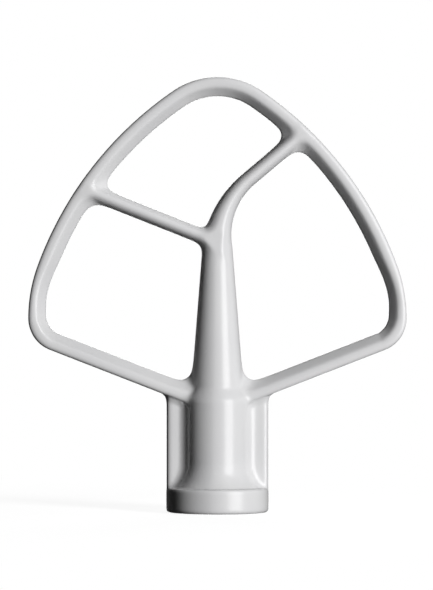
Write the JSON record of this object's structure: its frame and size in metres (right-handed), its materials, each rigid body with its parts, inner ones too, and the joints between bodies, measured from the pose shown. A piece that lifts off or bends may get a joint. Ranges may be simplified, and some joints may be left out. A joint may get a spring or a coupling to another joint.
{
  "type": "flat beater",
  "caption": "Flat beater for a stand mixer: a leaf-shaped open blade with a slanted bar and a leaning branch on a tapered shaft, with a hub socket and collar.",
  "frame": {"origin": "centre of the hub's mouth face, where the beater stands", "axes": "+Z along the hub's axis from the mouth to the crown of the blade, +X across the blade toward the leaning branch, +Y through the blade to its back"},
  "size_m": [0.133, 0.036, 0.153],
  "materials": {
    "coated_casting": "gloss"
  },
  "bodies": {
    "root": {"flat_beater": "coated_casting"}
  },
  "joints": []
}
